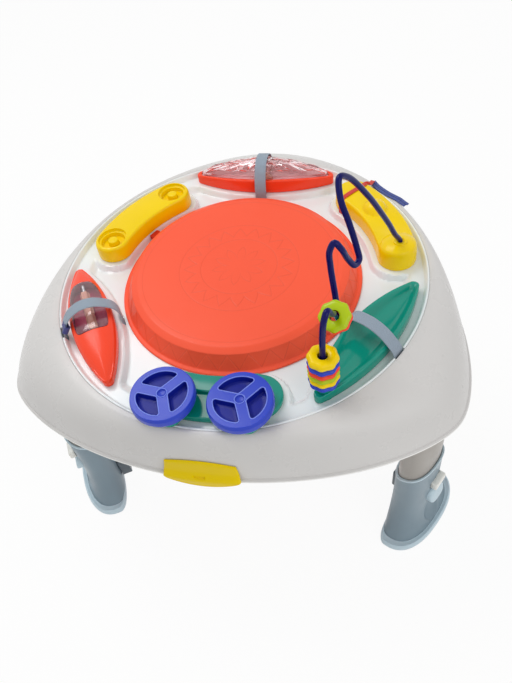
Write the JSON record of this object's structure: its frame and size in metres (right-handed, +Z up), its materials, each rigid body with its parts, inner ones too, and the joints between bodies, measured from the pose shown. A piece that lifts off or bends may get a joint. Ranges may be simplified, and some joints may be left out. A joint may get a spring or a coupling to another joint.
{
  "type": "baby activity table",
  "caption": "Round toy tray in a three-cornered skirted shell on telescopic legs, with a lift-off drum lid, spinning wheels, boats, bars and a bead wire.",
  "frame": {"origin": "on the floor under the middle of the table's outline", "axes": "+Z up from the floor, -Y to the side with the two wheels and the yellow tab, +X to the side with the bead wire"},
  "size_m": [0.655, 0.6513, 0.5983],
  "materials": {
    "white": "satin",
    "coral": "satin",
    "red": "gloss",
    "yellow": "gloss",
    "green": "gloss",
    "blue": "gloss",
    "lime": "gloss",
    "navy_coating": "gloss",
    "cream": "satin",
    "slate": "satin",
    "slate_light": "satin",
    "charcoal": "satin",
    "webbing": "woven",
    "blue_ribbon": "woven",
    "red_ribbon": "woven",
    "steel": "brushed",
    "clear": "clear",
    "navy_cloth": "woven"
  },
  "bodies": {
    "table": {"table_shell": "white", "toy_tray": "white", "red_boat": "red", "red_boat_window": "clear", "red_boat_axle": "steel", "rear_boat": "red", "rear_boat_dome": "clear", "rear_boat_pin": "steel", "green_boat": "green", "socket_bar": "yellow", "wire_bar": "yellow", "car_base": "green", "wheel_axle_left": "steel", "wheel_axle_right": "steel", "bead_wire": "navy_coating", "strap_left": "webbing", "strap_rear": "webbing", "strap_right": "webbing", "strap_tag": "navy_cloth", "red_ribbon": "red_ribbon", "blue_ribbon_1": "blue_ribbon", "blue_ribbon_2": "blue_ribbon", "front_tab": "yellow", "leg_post_rear": "cream", "leg_screw_rear": "steel", "leg_post_left": "cream", "leg_screw_left": "steel", "leg_post_right": "cream", "leg_screw_right": "steel"},
    "drum_cover": {"drum_cover": "coral"},
    "wheel_left": {"wheel_left": "blue"},
    "wheel_right": {"wheel_right": "blue"},
    "roller": {"red_boat_roller": "cream"},
    "spinner": {"rear_boat_spinner": "cream"},
    "bead_lime": {"bead_lime": "lime"},
    "bead_red": {"bead_red": "red"},
    "bead_1": {"bead_1": "blue"},
    "bead_2": {"bead_2": "yellow"},
    "bead_3": {"bead_3": "lime"},
    "bead_4": {"bead_4": "red"},
    "bead_5": {"bead_5": "blue"},
    "bead_6": {"bead_6": "yellow"},
    "leg_shell_rear": {"leg_shell_rear": "slate", "leg_foot_rear": "slate_light", "leg_hood_rear": "slate_light", "leg_bracket_rear": "charcoal"},
    "leg_button_rear": {"leg_button_rear": "white"},
    "leg_shell_left": {"leg_shell_left": "slate", "leg_foot_left": "slate_light", "leg_hood_left": "slate_light", "leg_bracket_left": "charcoal"},
    "leg_button_left": {"leg_button_left": "white"},
    "leg_shell_right": {"leg_shell_right": "slate", "leg_foot_right": "slate_light", "leg_hood_right": "slate_light", "leg_bracket_right": "charcoal"},
    "leg_button_right": {"leg_button_right": "white"}
  },
  "joints": [
    {"name": "drum_lift", "type": "slide", "parent": "table", "child": "drum_cover", "axis": [0, 0, 1], "range_m": [0, 0.06]},
    {"name": "wheel_left_spin", "type": "hinge", "parent": "table", "child": "wheel_left", "pos_m": [-0.0477, -0.264, 0.4045], "axis": [0, 0, 1], "continuous": true},
    {"name": "wheel_right_spin", "type": "hinge", "parent": "table", "child": "wheel_right", "pos_m": [0.0477, -0.264, 0.4045], "axis": [0, 0, 1], "continuous": true},
    {"name": "roller_spin", "type": "hinge", "parent": "table", "child": "roller", "pos_m": [-0.19591, -0.12967, 0.3925], "axis": [0.5, -0.866, 0], "continuous": true},
    {"name": "spinner_spin", "type": "hinge", "parent": "table", "child": "spinner", "pos_m": [0, 0.188, 0.3895], "axis": [0, 0, 1], "continuous": true},
    {"name": "bead_1_slide", "type": "slide", "parent": "table", "child": "bead_1", "axis": [0, 0, 1], "range_m": [0, 0.004]},
    {"name": "bead_2_slide", "type": "slide", "parent": "bead_1", "child": "bead_2", "axis": [0, 0, 1], "range_m": [0, 0.004]},
    {"name": "bead_3_slide", "type": "slide", "parent": "bead_2", "child": "bead_3", "axis": [0, 0, 1], "range_m": [0, 0.004]},
    {"name": "bead_4_slide", "type": "slide", "parent": "bead_3", "child": "bead_4", "axis": [0, 0, 1], "range_m": [0, 0.004]},
    {"name": "bead_5_slide", "type": "slide", "parent": "bead_4", "child": "bead_5", "axis": [0, 0, 1], "range_m": [0, 0.004]},
    {"name": "bead_6_slide", "type": "slide", "parent": "bead_5", "child": "bead_6", "axis": [0, 0, 1], "range_m": [0, 0.004]},
    {"name": "bead_lime_spin", "type": "hinge", "parent": "table", "child": "bead_lime", "pos_m": [0.15254, -0.19631, 0.48823], "axis": [-0.1609, -0.4597, 0.8734], "continuous": true},
    {"name": "bead_red_spin", "type": "hinge", "parent": "table", "child": "bead_red", "pos_m": [0.15381, -0.19267, 0.48133], "axis": [-0.1609, -0.4597, 0.8734], "continuous": true},
    {"name": "leg_rear_height", "type": "slide", "parent": "table", "child": "leg_shell_rear", "axis": [0, 0, -1], "range_m": [0, 0.054]},
    {"name": "button_rear_press", "type": "slide", "parent": "leg_shell_rear", "child": "leg_button_rear", "axis": [0, -1, 0], "range_m": [0, 0.0024], "stiffness_N_per_m": 400},
    {"name": "leg_left_height", "type": "slide", "parent": "table", "child": "leg_shell_left", "axis": [0, 0, -1], "range_m": [0, 0.054]},
    {"name": "button_left_press", "type": "slide", "parent": "leg_shell_left", "child": "leg_button_left", "axis": [0.866, 0.5, 0], "range_m": [0, 0.0024], "stiffness_N_per_m": 400},
    {"name": "leg_right_height", "type": "slide", "parent": "table", "child": "leg_shell_right", "axis": [0, 0, -1], "range_m": [0, 0.054]},
    {"name": "button_right_press", "type": "slide", "parent": "leg_shell_right", "child": "leg_button_right", "axis": [-0.866, 0.5, 0], "range_m": [0, 0.0024], "stiffness_N_per_m": 400}
  ]
}
